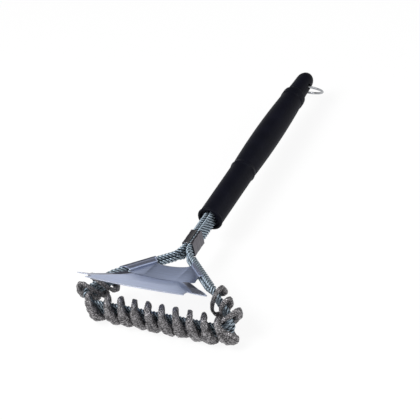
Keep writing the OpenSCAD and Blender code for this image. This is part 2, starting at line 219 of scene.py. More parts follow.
class Value:
    """A shader socket in an expression: each operator adds the Math node it stands for."""

    def __init__(self, finish, socket):
        self.finish = finish
        self.socket = socket

    def _math(self, operation, *others):
        return self.finish.node("ShaderNodeMath", {"operation": operation},
                                dict(enumerate((self,) + others)))

    def __add__(self, other):
        return self._math("ADD", other)

    __radd__ = __add__

    def __mul__(self, other):
        return self._math("MULTIPLY", other)

    __rmul__ = __mul__

    def __sub__(self, other):
        return self._math("SUBTRACT", other)

    def __rsub__(self, other):
        return self.finish.node("ShaderNodeMath", {"operation": "SUBTRACT"}, {0: other, 1: self})

    def __truediv__(self, other):
        return self._math("DIVIDE", other)

    def wave(self):
        """Cosine of the value in turns, from 0 to 1."""
        return (self * math.tau)._math("COSINE") * 0.5 + 0.5

    def absolute(self):
        return self._math("ABSOLUTE")

    def greatest(self, other):
        return self._math("MAXIMUM", other)

    def between(self, low, high):
        """0 below low, 1 above high, smooth in between."""
        return self.finish.node("ShaderNodeMapRange", {"interpolation_type": "SMOOTHSTEP"},
                                {"Value": self, "From Min": low, "From Max": high})

    def output(self, name):
        """Another output of the node that this value comes from."""
        return Value(self.finish, self.socket.node.outputs[name])


class Finish:
    """The nodes of a new material, or of a new world."""

    def __init__(self, name, kind="materials", output="ShaderNodeOutputMaterial"):
        self.owner = getattr(bpy.data, kind).new(name)
        self.owner.use_nodes = True
        self.tree = self.owner.node_tree
        self.tree.nodes.clear()
        self.output = self.tree.nodes.new(output)

    def node(self, kind, settings=None, inputs=None, out=None):
        """Adds a node: its settings first, then the values or links of its sockets."""
        made = self.tree.nodes.new(kind)
        for key, value in (settings or {}).items():
            setattr(made, key, value)
        for key, value in (inputs or {}).items():
            if isinstance(key, int):
                socket = made.inputs[key]
            else:
                socket = next(s for s in made.inputs if s.name == key and s.enabled)
            if isinstance(value, Value):
                self.tree.links.new(value.socket, socket)
            else:
                socket.default_value = value
        return Value(self, next(s for s in made.outputs if s.enabled and out in (None, s.name)))

    def place(self):
        """Position in metres in the frame."""
        return self.node("ShaderNodeTexCoord", out="Object")

    def stretched(self, scales):
        """Position in the frame, scaled apart for each direction."""
        return self.node("ShaderNodeVectorMath", {"operation": "MULTIPLY"},
                         {0: self.place(), 1: scales})

    def uv(self):
        """The two surface coordinates, in millimetres along and round the piece."""
        along = self.node("ShaderNodeSeparateXYZ", inputs={"Vector": self.node(
            "ShaderNodeUVMap", {"uv_map": "UVMap"})}, out="X")
        return along, along.output("Y")

    def noise(self, scale, detail=2.0, roughness=0.5, at=None):
        """Soft noise from 0 to 1, on the position in the frame unless told otherwise."""
        return self.node("ShaderNodeTexNoise", {"noise_dimensions": "3D"},
                         {"Vector": at or self.place(), "Scale": scale, "Detail": detail,
                          "Roughness": roughness}, out="Fac")

    def tint(self):
        """The piece's tint: on the scraper, sleeve and grip 1 where worn bright and below 0 where
        a dark reflection is painted; on the ropes low on each wire's inward side, where shade is
        painted; on the mesh high on the knots, where a highlight is painted.
        """
        return self.node("ShaderNodeAttribute", {"attribute_name": "Tint"}, out="Fac")

    def mix(self, factor, first, second):
        """A colour between two colours."""
        def four(c):
            return c if isinstance(c, Value) else (*c, 1.0)
        return self.node("ShaderNodeMix", {"data_type": "RGBA"},
                         {"Factor": factor, "A": four(first), "B": four(second)}, out="Result")

    def bump(self, height, strength, distance, under=None):
        inputs = {"Height": height, "Strength": strength, "Distance": distance}
        if under is not None:
            inputs["Normal"] = under
        return self.node("ShaderNodeBump", inputs=inputs)

    def surface(self, **sockets):
        """Ends a material with one Principled surface."""
        inputs = {key.replace("_", " "): value for key, value in sockets.items()}
        return self.done(self.node("ShaderNodeBsdfPrincipled", inputs=inputs))

    def done(self, shader):
        """Gives the shader to the output, and returns the material or the world."""
        self.tree.links.new(shader.socket, self.output.inputs["Surface"])
        return self.owner


# ---- Finishes ----

# Dark grey steel: the neck sleeve's own colour, and the colour of the painted dark reflection on
# the scraper's rolls and side tips
DARK_STEEL = (0.13, 0.125, 0.14)


def scaled(colour, factor):
    """A colour made darker or brighter, up to white."""
    return tuple(min(1.0, c * factor) for c in colour)


def galvanised_wire(colour):
    """Bright drawn wire with a thin, slightly blotched zinc coat, and painted shade on each wire's
    inward side, between the wires.
    """
    f = Finish("rope_wire")
    blotch = f.noise(260.0, 3.0)
    drawn = f.noise(900.0)
    outer = f.tint()
    wire = f.mix(blotch.between(0.35, 0.7), colour, scaled(colour, 1.25))
    # Painted shade: each wire darkens towards its inward side, where its tint falls towards 0
    shade = f.mix(outer.between(0.3, 0.85), scaled(colour, 0.22), wire)
    rough = 0.38 + 0.16 * blotch + 0.3 * (1 - outer.between(0.3, 0.9))
    return f.surface(Base_Color=shade, Metallic=0.85, Roughness=rough,
                     Normal=f.bump(drawn, 0.15, 0.00008))


def woven_steel(colour, gap_colour, pitch):
    """Sleeve of fine steel wire loops: bright crossings with a painted highlight on the knots, and
    painted shade in the gaps between them.
    """
    f = Finish("mesh_steel")
    along, around = f.uv()
    wander = f.noise(160.0) * 0.9
    p = ((along + around) / pitch + wander).wave()
    q = ((along - around) / pitch + wander).wave()
    strands = f.node("ShaderNodeCombineXYZ", inputs={"X": along * 0.24, "Y": around * 0.62})
    speck = f.noise(1.0, 3.0, 0.65, at=strands)
    patch = f.noise(120.0, 3.0, 0.6)
    height = p.greatest(q) * 0.35 + speck * 1.3
    lift = height.between(0.70, 1.12)
    # The tint paints a highlight on the raised knots, varied at random by the grain
    wear_and_painted_light = f.tint()
    wire = f.mix(patch.between(0.35, 0.68), scaled(colour, 0.6), colour)
    lit = f.mix(wear_and_painted_light.between(0.35, 0.95), wire, scaled(colour, 2.2))
    # Painted shade: the low places between the wires take the dark gap colour
    shade = f.mix(lift, gap_colour, lit)
    fine = f.bump(height, 1.0, 0.0009)
    return f.surface(Base_Color=shade, Metallic=0.3 + 0.55 * lift, Roughness=0.5 - 0.18 * lift,
                     Normal=f.bump(patch, 0.5, 0.0012, under=fine))


def brushed_sheet(name, colour, lines, rough):
    """Brushed steel sheet with faint scuffs, a pale worn rim, and a painted dark reflection in
    dark grey where the tint is below zero.
    """
    f = Finish(name)
    grain = f.noise(1.0, 3.0, at=f.stretched(lines))
    scuff = f.noise(55.0, 4.0, 0.65)
    rim = f.tint()
    base = f.mix(grain.between(0.25, 0.75), scaled(colour, 0.86), scaled(colour, 1.1))
    cloudy = f.mix(scuff.between(0.5, 0.8) * 0.35, base, scaled(colour, 0.75))
    # Painted dark reflection: dark grey where the tint is below zero
    dip = (0 - rim).between(0.0, 1.0)
    painted_dark_reflection = f.mix(dip * 0.8, cloudy, DARK_STEEL)
    wear_and_painted_light = f.mix(rim.between(0.0, 1.0) * 0.8, painted_dark_reflection, tuple(0.25 + 0.5 * c for c in colour))
    return f.surface(Base_Color=wear_and_painted_light, Metallic=1.0, Roughness=rough + 0.1 * grain,
                     Normal=f.bump(grain, 0.12, 0.00006))


def moulded_plastic(name, colour, grain_scale, rough):
    """Matte black moulded plastic with a fine spark-eroded grain and dusty wear."""
    f = Finish(name)
    grain = f.noise(grain_scale, 2.0, 0.6)
    dust = f.noise(38.0, 4.0, 0.6)
    rim = f.tint()
    base = f.mix(dust.between(0.35, 0.75), colour, scaled(colour, 1.5))
    wear_and_painted_light = f.mix(rim * 0.5, base, scaled(colour, 2.6))
    return f.surface(Base_Color=wear_and_painted_light, Roughness=rough + 0.14 * dust, IOR=1.46,
                     Specular_IOR_Level=0.08, Normal=f.bump(grain, 0.35, 0.00012))


def polished_wire(colour):
    """Nickel-plated ring wire with light handling marks."""
    f = Finish("ring_steel")
    marks = f.noise(300.0, 4.0, 0.7)
    base = f.mix(marks.between(0.4, 0.75), colour, scaled(colour, 0.7))
    return f.surface(Base_Color=base, Metallic=1.0, Roughness=0.16 + 0.22 * marks,
                     Normal=f.bump(marks, 0.08, 0.00008))


# ---- Middle line of the ropes ----

LINE_STEP = 0.5
# A corner's round: half its length, its reach along the row, and its middle's place
CORNER_ANGLE = math.acos(float(unit(LEAN - CORNER) @ unit(ROW - CORNER)))
CORNER_HALF = (math.pi / 2 - CORNER_ANGLE / 2) * CORNER_R
CORNER_TANGENT = CORNER_R / math.tan(CORNER_ANGLE / 2)
CORNER_S = CORNER_X - CORNER_TANGENT + CORNER_HALF
# The stack goes on past a corner before it turns over, and turns back beside the fork
STACK_ON, STACK_TURN, FORK_TURN = 40, 16, 8


def bend(a, b, c, radius, steps):
    """A round bend of the given radius at corner b of the path a, b, c."""
    u, w = unit(a - b), unit(c - b)
    half = math.acos(float(u @ w)) / 2
    centre = b + unit(u + w) * radius / math.sin(half)
    x = unit(b + u * radius / math.tan(half) - centre)
    turn = np.linspace(0, math.pi - 2 * half, steps + 1)[:, None]
    return centre + radius * (x * np.cos(turn) - u * np.sin(turn))


class Bundle:
    """Middle line of the ropes, over both arms, and the directions along it."""

    def __init__(self):
        right = np.concatenate([[ROW], bend(ROW, CORNER, LEAN, CORNER_R, 28),
                                bend(CORNER, LEAN, FORK, LEAN_R, 16),
                                bend(LEAN, FORK, TOP, FORK_R, 20), [TOP]])
        line = np.concatenate([right[:0:-1] * np.array([-1.0, 1.0, 1.0]), right])
        places = run_along(line)
        places -= places[-1] / 2
        self.s = np.arange(places[0], places[-1], LINE_STEP)
        self.middle = resample(self.s, places, line)
        self.ahead = unit(np.gradient(self.middle, axis=0))
        self.up = square_to(np.array([0, 0, 1.0]), self.ahead)

    def at(self, s, values):
        """Values that are known along the middle line, at the places s."""
        return resample(s, self.s, values)

    def frame_at(self, s):
        """Middle, and directions ahead, up and inwards, at the places s."""
        ahead = unit(self.at(s, self.ahead))
        up = square_to(self.at(s, self.up), ahead)
        return self.at(s, self.middle), ahead, up, np.cross(up, ahead)

    def spread(self, s):
        """How far the ropes have left their stack for a triangle at each place: 0 to 1."""
        past_corner = smooth_step((np.abs(s) - CORNER_S - STACK_ON) / STACK_TURN)
        across = np.abs(self.at(s, self.middle)[:, 0]) - ROPE_STEP / 2
        return np.minimum(past_corner, smooth_step((across - 0.3) / FORK_TURN))


def rope_place(layer, spread):
    """Places of the front (1), middle (0) or back rope (-1), inwards and forwards."""
    turn = spread * math.pi / 6
    inwards, forwards = 0 * spread, 1 - spread * (1 - 1 / math.sqrt(3))
    if layer < 1:
        inwards, forwards = inwards + np.sin(turn), forwards - np.cos(turn)
    if layer < 0:
        inwards, forwards = inwards - np.sin(3 * turn), forwards - np.cos(3 * turn)
    return ROPE_STEP * inwards, ROPE_STEP * forwards


# ---- Settings ----


def mm_prop(name, description, default, low, high):
    return FloatProperty(name=name, description=description + ", in mm", default=default,
                         min=low, max=high)


def colour_prop(name, description, default):
    return FloatVectorProperty(name=name, description="Colour of the " + description,
                               subtype="COLOR", size=3, default=default, min=0.0, max=1.0)


def angle_prop(name, description, degrees):
    return FloatProperty(name=name, description=description, subtype="ANGLE",
                         default=math.radians(degrees))


class GrillBrushRopes(bpy.types.PropertyGroup):
    """Twisted wire ropes."""
    strands: IntProperty(name="Wires per rope", description="Wires twisted into one rope",
                         default=3, min=2, max=7)
    lay: mm_prop("Lay", "Length of rope for one turn of a wire", 11.8, 8.0, 60.0)
    wire: colour_prop("Wire", "galvanised wire", (0.235, 0.285, 0.33))


class GrillBrushMesh(bpy.types.PropertyGroup):
    """Woven mesh sleeve wound round the ropes."""
    pinched: mm_prop("Pinched width", "Sleeve's width where it is pinched", 4.6, 4.0, 10.0)
    spread: mm_prop("Spread", "How much wider it gets on the scrubbing side", 10.2, 0.0, 12.0)
    weave: mm_prop("Weave", "Distance between crossing wires", 2.5, 0.8, 4.0)
    wire: colour_prop("Wire", "woven wire", (0.33, 0.32, 0.33))
    # The gap colour is painted shade between the woven wires
    gap: colour_prop("Gaps", "gaps between the woven wires", (0.034, 0.032, 0.035))


class GrillBrushSheet(bpy.types.PropertyGroup):
    """Pressed scraper and folded neck sleeve."""
    thickness: mm_prop("Thickness", "Thickness of the scraper's sheet", 1.2, 0.6, 2.0)
    scraper: colour_prop("Scraper", "scraper's steel", (0.43, 0.50, 0.70))
    sleeve: colour_prop("Neck sleeve", "neck sleeve", DARK_STEEL)


class GrillBrushHandle(bpy.types.PropertyGroup):
    """Moulded grip, end cap and hanging ring."""
    plastic: colour_prop("Plastic", "grip and the cap", (0.0030, 0.0033, 0.0065))
    ring: colour_prop("Ring", "hanging ring", (0.36, 0.37, 0.39))


class GrillBrushStage(bpy.types.PropertyGroup):
    """Floor, lamps and camera."""
    floor: colour_prop("Floor", "floor", (0.88, 0.88, 0.88))
    sky: FloatProperty(name="Sky", description="Strength of the soft light from all round",
                       default=0.75, min=0.0, max=2.0)
    key: FloatProperty(name="Key lamp", description="Power of the large lamp",
                       subtype="POWER", default=34.0, min=0.0, max=500.0)
    azimuth: angle_prop("Azimuth", "Camera's direction round the brush", 34.19)
    elevation: angle_prop("Elevation", "Camera's height angle", 36.91)
    roll: angle_prop("Roll", "Camera's turn about its own axis", 13.75)
    lens: mm_prop("Lens", "Focal length of the camera", 97.71, 20.0, 300.0)


# ---- Ropes ----

# The wires are a little fuller than round ones on the rope's circle, so they press together
WIRE_FULL, ROPE_FULL = 1.09, 1.07
STEPS_PER_LAY, WIRE_SIDES = 14, 8
TURN_PER_LAYER = 0.13


def tube(path, out, ahead, radius):
    """Rings round a path, starting at the outward direction of each of its points."""
    side = unit(np.cross(ahead, out))
    turn = np.linspace(0, math.tau, WIRE_SIDES, endpoint=False)
    turn_c, turn_s = np.cos(turn)[:, None], np.sin(turn)[:, None]
    across = out[:, None, :] * turn_c + side[:, None, :] * turn_s
    return path[:, None, :] + across * radius, turn


class GRILLBRUSH_OT_ropes(bpy.types.Operator):
    """Twist the wires of the three ropes"""
    bl_idname = "grillbrush.ropes"
    bl_label = "Wire Ropes"

    def execute(self, context):
        settings = context.scene.grillbrush_ropes
        finish = galvanised_wire(settings.wire)
        bundle = Bundle()
        squeeze = math.sin(math.pi / settings.strands)
        helix_r = ROPE_D / 2 / (1 + squeeze)
        steep = math.atan(math.tau * helix_r / settings.lay)
        wire_r = WIRE_FULL * helix_r * squeeze * math.cos(steep) ** 0.7
        helix_r = ROPE_D / 2 * ROPE_FULL - wire_r
        s = np.arange(bundle.s[0] + 1, bundle.s[-1] - 1, settings.lay / STEPS_PER_LAY)
        rows = len(s)
        middle, _, up, inner = bundle.frame_at(s)
        spread = bundle.spread(s)
        for layer, name in ((1, "front_rope"), (0, "middle_rope"), (-1, "back_rope")):
            points, faces, tint, uv = [], [], [], []
            inwards, forwards = rope_place(layer, spread)
            line = middle + inner * inwards[:, None] + up * forwards[:, None]
            for strand in range(settings.strands):
                turn = math.tau * (s / settings.lay + strand / settings.strands
                                   + TURN_PER_LAYER * layer)
                out = inner * np.cos(turn)[:, None] + up * np.sin(turn)[:, None]
                path = line + helix_r * out
                along = unit(np.gradient(path, axis=0))
                rings, angle = tube(path, square_to(out, along), along, wire_r)
                points.append(rings.reshape(-1, 3))
                faces += tube_faces(rows, WIRE_SIDES, strand * rows * WIRE_SIDES)
                # Tint 1 on each wire's outward side and 0 on its inward side, where the finish
                # paints shade
                tint.append(np.tile(np.cos(angle) * 0.5 + 0.5, rows))
                grid = np.stack(np.meshgrid(s, angle * wire_r, indexing="ij"), axis=-1)
                uv.append(grid.reshape(-1, 2))
            add_piece(name + "_wires", np.concatenate(points), faces, finish, "brush",
                      [name], np.concatenate(tint), np.concatenate(uv),
                      math.tau * wire_r)
        return {"FINISHED"}


# ---- Mesh sleeve ----

# Turns round the ropes, and how far along them the sleeve has come by then
TURNS = [-7.5, -6, -5, -4, 4, 5, 6, 7.5]
PLACES = [-CORNER_S - 35.6, -CORNER_S - 15.6, -CORNER_S - 0.6, 27.0 - CORNER_S,
          CORNER_S - 16.5, CORNER_S + 0.6, CORNER_S + 15.6, CORNER_S + 35.6]
# It moves on along the row mostly over the top, and stands upright
ROW_SHIFT, OVER_TOP, UPRIGHT = 0.6, 2.0, 1.7
RINGS_PER_TURN, SLEEVE_SIDES = 150, 44
# How far it reaches from the ropes' middle sideways and up, and how close it comes to them
REACH, LEAST_REACH, CORNER_REACH, DEPTH = 12.3, 8.0, 3.0, 18.3
ROPE_ROOM, STACK_ROOM = 1.5, 1.6
FOLD_HALF, FOLD_GAP = 3.3, 0.4
FULLEST = math.radians(212)
SLIM = 0.38


def near_corner(s, width):
    """1 at the corners of the row, fading over the width on both sides of them."""
    return np.exp(-((np.abs(s) - CORNER_S) / width) ** 2)


def crumpled(u, v, around, weave):
    """A sleeve pushed together on itself: long folds, wire loops and short crumples."""
    folds = (0.5 * np.sin(u / 5.3 + 2 * np.sin(around))
             + 0.45 * np.sin(u / 3.1 - 2 * around + 1.3)
             + 0.35 * np.sin(u / 1.7 + 3 * around + 2 * np.sin(u / 13)))
    knots = (np.cos(math.tau * (u + v) / weave + 1.7 * np.sin(u / 4.1))
             + np.cos(math.tau * (u - v) / weave + 1.7 * np.sin(u / 3.3 + 1)))
    return folds, knots, np.random.default_rng(7).normal(0, 1, u.shape)


class GRILLBRUSH_OT_mesh(bpy.types.Operator):
    """Wind the woven mesh sleeve round the ropes"""
    bl_idname = "grillbrush.mesh"
    bl_label = "Woven Mesh"

    def execute(self, context):
        settings = context.scene.grillbrush_mesh
        finish = woven_steel(settings.wire, settings.gap, settings.weave)
        bundle = Bundle()
        rows = int((TURNS[-1] - TURNS[0]) * RINGS_PER_TURN) + 1
        turn = np.linspace(TURNS[0], TURNS[-1], rows)
        angle = math.tau * turn
        c, sn = np.cos(angle), np.sin(angle)
        s = np.interp(turn, TURNS, PLACES) + ROW_SHIFT - OVER_TOP * c + UPRIGHT * sn
        middle, _, up, _ = bundle.frame_at(s)
        ahead = unit(bundle.at(s + 2, bundle.middle) - bundle.at(s - 2, bundle.middle))
        inner = unit(np.cross(up, ahead))

        # Inside a corner there is less room, and outside it the sleeve bulges
        past = np.maximum(0, np.abs(np.abs(s) - CORNER_S) - CORNER_HALF)
        room = math.tan(CORNER_ANGLE / 2) * (CORNER_TANGENT + past - FOLD_HALF) - FOLD_GAP
        inner_reach = np.minimum(REACH, np.maximum(LEAST_REACH, room))
        outer_reach = REACH + CORNER_REACH * near_corner(s, 14)
        blend = smooth_step((c + 0.25) / 0.5)
        reach = outer_reach * (1 - blend) + inner_reach * blend
        bent = near_corner(s, 12)
        inner_w, inner_d = ROPE_D / 2 + ROPE_ROOM + bent, STACK_HALF_D + STACK_ROOM + bent
        # Over the scraper's side a loop is a thin flat band, clear of the ropes, and on the
        # scrubbing side it is full
        full = (1 + np.cos(angle - FULLEST)) / 2
        slim = SLIM + (1 - SLIM) * smooth_step((full - 0.25) * 1.5)
        half_w, half_d = (reach - inner_w) / 2 * slim, (DEPTH - inner_d) / 2 * slim
        w, d = reach - half_w, DEPTH - half_d
        thick = np.sqrt((half_w * c) ** 2 + (half_d * sn) ** 2)
        out = unit(inner * (c * d)[:, None] + up * (sn * w)[:, None])
        path = middle + inner * (w * c)[:, None] + up * (d * sn)[:, None]
        spread = np.interp(np.abs(s), [CORNER_S, CORNER_S + 15], [1.0, 0.25])
        half = (settings.pinched + settings.spread * spread * full ** 2) / 2

        around = np.linspace(0, math.tau, SLEEVE_SIDES, endpoint=False)
        ca, sa = np.cos(around), np.sin(around)
        flat_c, flat_s = np.sign(ca) * np.abs(ca) ** 0.8, np.sign(sa) * np.abs(sa) ** 0.9
        run = run_along(path)
        girth = np.mean(half + thick) * 3.2
        u = run[:, None] + 0 * around
        v = girth * (around / math.tau) + 0 * run[:, None]
        folds, knots, grain = crumpled(u, v, around, settings.weave)
        ripple = (0.4 + 0.6 * full[:, None]) * folds + 0.2 * knots + 0.16 * grain
        radial = thick[:, None] * flat_c + ripple * ca
        sideways = half[:, None] * flat_s + ripple * sa
        points = (path[:, None, :] + out[:, None, :] * radial[:, :, None]
                  + ahead[:, None, :] * sideways[:, :, None])
        points[:, :, 2] = np.maximum(points[:, :, 2], FLOOR_Z)
        # Tint: a painted highlight on the raised knots, varied at random by the grain
        shine = np.clip(0.45 + 0.22 * knots + 0.2 * grain, 0, 1)
        piece = add_piece("woven_mesh", points, tube_faces(rows, SLEEVE_SIDES), finish, "brush",
                          ["mesh_coil"], shine, np.stack([u, v], axis=-1), girth)
        fix_normals(piece)
        return {"FINISHED"}


# ---- Scraper ----

# Q is the distance from the handle's mouth, towards the row
CREASE_Q, CREASE_Z = 117.0, 15.5
BLADE_SLOPE = math.radians(31)
BLADE_Q = CREASE_Q + 54 * math.cos(BLADE_SLOPE)
NOTCH_Q = CREASE_Q + 31.5
TIP_HALF, NECK_HALF, NOTCH_SHARE = 77.0, 38.5, 0.72
SIDE_PRESS = 4.4
CREASE_BOW, CREASE_GROOVE = 3.8, 0.2
WING_START, WING_END = 23.5, 47.0
FOOT, SCALLOP_DEPTH = 5.9, 4.6
SHEET_SHIFT = -1.5
# Columns of the sheet, as shares of its half width: where a batch starts, ends, and how many
COLUMNS = ((-1, -NOTCH_SHARE, 8), (-NOTCH_SHARE, -0.5, 8), (-0.5, 0.5, 48),
           (0.5, NOTCH_SHARE, 8), (NOTCH_SHARE, 1, 8))
BRACKET_ROWS, BRACKET_SAG, WAIST = 12, 1.2, 6.0
SMOOTHING_ROUNDS = 60
ROPE_GAP, ROLL_ROWS = 0.15, 7
ROLL_NEAR, ROLL_FAR, ROLL_LEAVE = math.radians(70), math.radians(105), math.radians(42)
# The end of a roll is cut on a slant, longer at its free edge
SLANT, FAR_LONGER = 7, 6
# Tint of the painted dark reflection on the rolls and side tips, and the width over which it fades
# at the tips
PAINTED_DARK, PAINTED_DARK_FADE = -0.8, 0.08

# Half width and Q of the blade's outline, from the crease to the side tips
SIDE_OUTLINE = np.array([
    [NECK_HALF, CREASE_Q], [NECK_HALF + 9.5, CREASE_Q + 5], [NECK_HALF + 19.5, CREASE_Q + 10.5],
    [NECK_HALF + 28.5, CREASE_Q + 17.5], [NECK_HALF + 35.5, CREASE_Q + 25],
    [TIP_HALF, NOTCH_Q]])
# Widening past the notches, Q there, and how much further the middle of the row stands
FRONT_ROWS = ((0.2, NOTCH_Q + 2, 0), (0.5, NOTCH_Q + 3.5, 0.5), (0.8, NOTCH_Q + 5.5, 1),
              (1.6, NOTCH_Q + 8, 2.2), (3, BLADE_Q - 4, 4))


def sheet_height(x, q):
    """Height of the blade's back face above the handle's axis, from the crease on.

    It bows at the crease, and the side tips are pressed down between crease and notches.
    """
    depth = SIDE_PRESS * np.interp(q, [CREASE_Q, CREASE_Q + 8, CREASE_Q + 20, NOTCH_Q,
                                       NOTCH_Q + 12], [0, 1, 1, 0.2, 0])
    bow = (CREASE_BOW * np.interp(q, [CREASE_Q, CREASE_Q + 25], [1, 0])
           * np.maximum(0, 1 - (x / NECK_HALF) ** 2))
    start = np.interp(q, [CREASE_Q, NOTCH_Q], [20, NOTCH_SHARE * TIP_HALF - 5])
    return (CREASE_Z + (q - CREASE_Q) * math.tan(BLADE_SLOPE) - bow
            - depth * smooth_step((np.abs(x) - start) / 16))


def roll_point(x, angle, distance):
    """Points at an angle round the front rope, from the level of its middle on the inside."""
    x = x + SHEET_SHIFT
    out = (np.abs(x) - ROPE_STEP / 2) / (LEAN_X - ROPE_STEP / 2)
    flat = distance * np.cos(angle)
    return np.stack([np.sign(x) * (np.abs(x) - flat * math.sin(NEAR_ANGLE)),
                     -(FORK_Y + out * (LEAN_Y - FORK_Y)) - flat * math.cos(NEAR_ANGLE),
                     out * ARM_LIFT + ROPE_STEP / math.sqrt(3) + distance * np.sin(angle)], axis=1)


def top_edge(share, thickness):
    """Back face of the bracket's top edge: beside the rolls, and round between them."""
    end = np.sign(share) * np.maximum(np.abs(share), 0.5) * WING_END
    end -= FAR_LONGER * np.maximum(-share - 0.5, 0)
    line = roll_point(end, 0 * share, FOOT) - [0, 0, thickness / 2]
    cut = np.abs(share) < 0.5
    ends = roll_point(np.array([-WING_START, WING_START]), np.zeros(2), FOOT)
    way = (share[cut] + 0.5)[:, None]
    line[cut] = ends[0] * (1 - way) + ends[1] * way - [0, 0, thickness / 2]
    line[cut, 1] -= SCALLOP_DEPTH * np.sqrt(1 - (2 * share[cut]) ** 2)
    return line


def sheet_rows():
    """Half width and Q of the rows from the crease to the notches."""
    last = len(SIDE_OUTLINE) - 1
    # One more row close past the crease keeps the bend crisp
    fine = np.insert(np.linspace(0, last, last * 5 + 1), 1, 0.06)
    return resample(fine, np.arange(last + 1), SIDE_OUTLINE)


def sheet_faces(use, shift):
    """Both skins and the rim over the cells in use, and the points round the rim."""
    columns = use.shape[1] + 1
    faces, rim = [], []
    for i, j in np.argwhere(use).tolist():
        a, b = i * columns + j, (i + 1) * columns + j
        faces.append([a, b, b + 1, a + 1])
        faces.append([a + shift, a + 1 + shift, b + 1 + shift, b + shift])
        for ni, nj, e in ((i - 1, j, (a, a + 1)), (i, j + 1, (a + 1, b + 1)),
                          (i + 1, j, (b + 1, b)), (i, j - 1, (b, a))):
            if not (0 <= ni < use.shape[0] and 0 <= nj < use.shape[1] and use[ni, nj]):
                faces.append([e[0], e[1], e[1] + shift, e[0] + shift])
                rim += [e[0], e[1], e[0] + shift, e[1] + shift]
    return faces, rim


def smooth_heights(rows):
    """Evens out the heights of rows of points between their outer points."""
    z = np.stack([row[:, 2] for row in rows])
    for _ in range(SMOOTHING_ROUNDS):
        z[1:-1, 1:-1] = (z[:-2, 1:-1] + z[2:, 1:-1] + z[1:-1, :-2] + z[1:-1, 2:]) / 4
    for row, level in zip(rows, z):
        row[:, 2] = level


def leaving(way, radius, level):
    """Angle and distance from the rope's middle, part of the way from its roll to the foot."""
    start = np.array([math.cos(ROLL_LEAVE), math.sin(ROLL_LEAVE)]) * radius
    knee = np.array([radius / math.cos(ROLL_LEAVE) - level, level])
    foot = np.array([FOOT, level])
    at = (1 - way) ** 2 * start + 2 * way * (1 - way) * knee + way * way * foot
    return math.atan2(at[1], at[0]), math.hypot(*at)


class GRILLBRUSH_OT_scraper(bpy.types.Operator):
    """Press the scraper from one steel sheet"""
    bl_idname = "grillbrush.scraper"
    bl_label = "Scraper"

    def execute(self, context):
        settings = context.scene.grillbrush_sheet
        finish = brushed_sheet("scraper_steel", settings.scraper, (30.0, 900.0, 900.0), 0.31)
        t = settings.thickness
        share = np.concatenate([np.linspace(start, stop, steps + 1)[:-1]
                                for start, stop, steps in COLUMNS] + [[1]])
        wing = np.abs(share) >= 0.5 - 1e-9
        front = np.abs(share) <= NOTCH_SHARE + 1e-9
        side = np.sign(share)
        radius = ROPE_D / 2 + ROPE_GAP
        upper, lower = [], []

        def add_row(x, y, z):
            upper.append(np.stack([x, y, z + t], axis=1))
            lower.append(np.stack([x, y, z], axis=1))

        def add_wing_row(angle, distance, angle_low, distance_low):
            end = (np.where(share > 0, WING_END - FAR_LONGER, WING_END)
                   + SLANT * (angle / ROLL_FAR) ** 1.5)
            x = side * (WING_START + (np.abs(share) - 0.5) * 2 * (end - WING_START))
            upper.append(roll_point(x, angle, distance))
            lower.append(roll_point(x, angle_low, distance_low))

        # One roll is pressed less far over its rope than the other
        last = np.where(share > 0, ROLL_NEAR, ROLL_FAR)
        for w in np.linspace(1, 0, ROLL_ROWS):
            a = ROLL_LEAVE + w * (last - ROLL_LEAVE)
            add_wing_row(a, radius + t, a, radius)
        # It leaves the roll on a tangent and runs out level at the foot
        for way in (0.25, 0.5, 0.75):
            a, distance = leaving(way, radius + t, t / 2)
            add_wing_row(np.full_like(share, max(a, 0)), distance,
                         *leaving(way, radius, -t / 2))
        wing_rows = len(upper)
        top = top_edge(share, t)
        x = share * NECK_HALF
        crease = np.stack([x + SHEET_SHIFT, np.full_like(x, -CREASE_Q),
                           sheet_height(x, CREASE_Q)], axis=1)
        # The last row lies close beside the crease and keeps its bend crisp
        ways = np.append(np.linspace(0, 1, BRACKET_ROWS)[:-1], 0.985)
        for way in ways:
            line = (1 - way) * top + way * crease
            line[:, 2] -= BRACKET_SAG * math.sin(math.pi * way)
            # The sides draw in on a round between the rolls and the crease
            waist = WAIST * np.maximum(0, (np.abs(share) - 0.5) * 2) ** 2 * (1 - way) ** 2
            line[:, 0] -= side * waist
            add_row(*line.T)
        past_bracket = len(upper)
        smooth_heights(upper[wing_rows:])
        smooth_heights(lower[wing_rows:])
        rows = sheet_rows()
        for half, q in rows:
            dip = CREASE_GROOVE if q == CREASE_Q else 0.0
            x = share * half
            add_row(x + SHEET_SHIFT, np.full_like(x, -q), sheet_height(x, q) - dip)
        across = share / NOTCH_SHARE
        for wider, q0, rise in FRONT_ROWS:
            x = across * (NOTCH_SHARE * TIP_HALF + wider)
            q = q0 + rise * (1 - across ** 2)
            add_row(x + SHEET_SHIFT, -q, sheet_height(x, q))

        # Cells of the sheet that are steel: two rolls, the full width, and the blade's front
        full_rows = past_bracket + len(rows) - 1
        use = np.ones((len(upper) - 1, len(share) - 1), dtype=bool)
        use[:wing_rows] = wing[:-1] & wing[1:] & (side[:-1] == side[1:])
        use[full_rows:] = front[:-1] & front[1:]
        points = np.concatenate(upper + lower)
        faces, rim = sheet_faces(use, len(upper) * len(share))
        # The rolls and the side tips get a painted dark reflection
        tint = np.zeros((2, len(upper), len(share)))
        tint[:, :wing_rows - 2] = PAINTED_DARK
        tint[:, past_bracket:full_rows + 1] = -smooth_step(
            (np.abs(share) - NOTCH_SHARE) / PAINTED_DARK_FADE)
        tint = tint.reshape(-1)
        tint[rim] = 1.0
        used, faces = np.unique(faces, return_inverse=True)
        piece = add_piece("scraper_sheet", points[used], faces.reshape(-1, 4), finish, "brush",
                          ["scraper"], tint[used])
        fix_normals(piece)
        round_edges(piece, 0.15).harden_normals = True
        return {"FINISHED"}


# ---- Neck sleeve ----

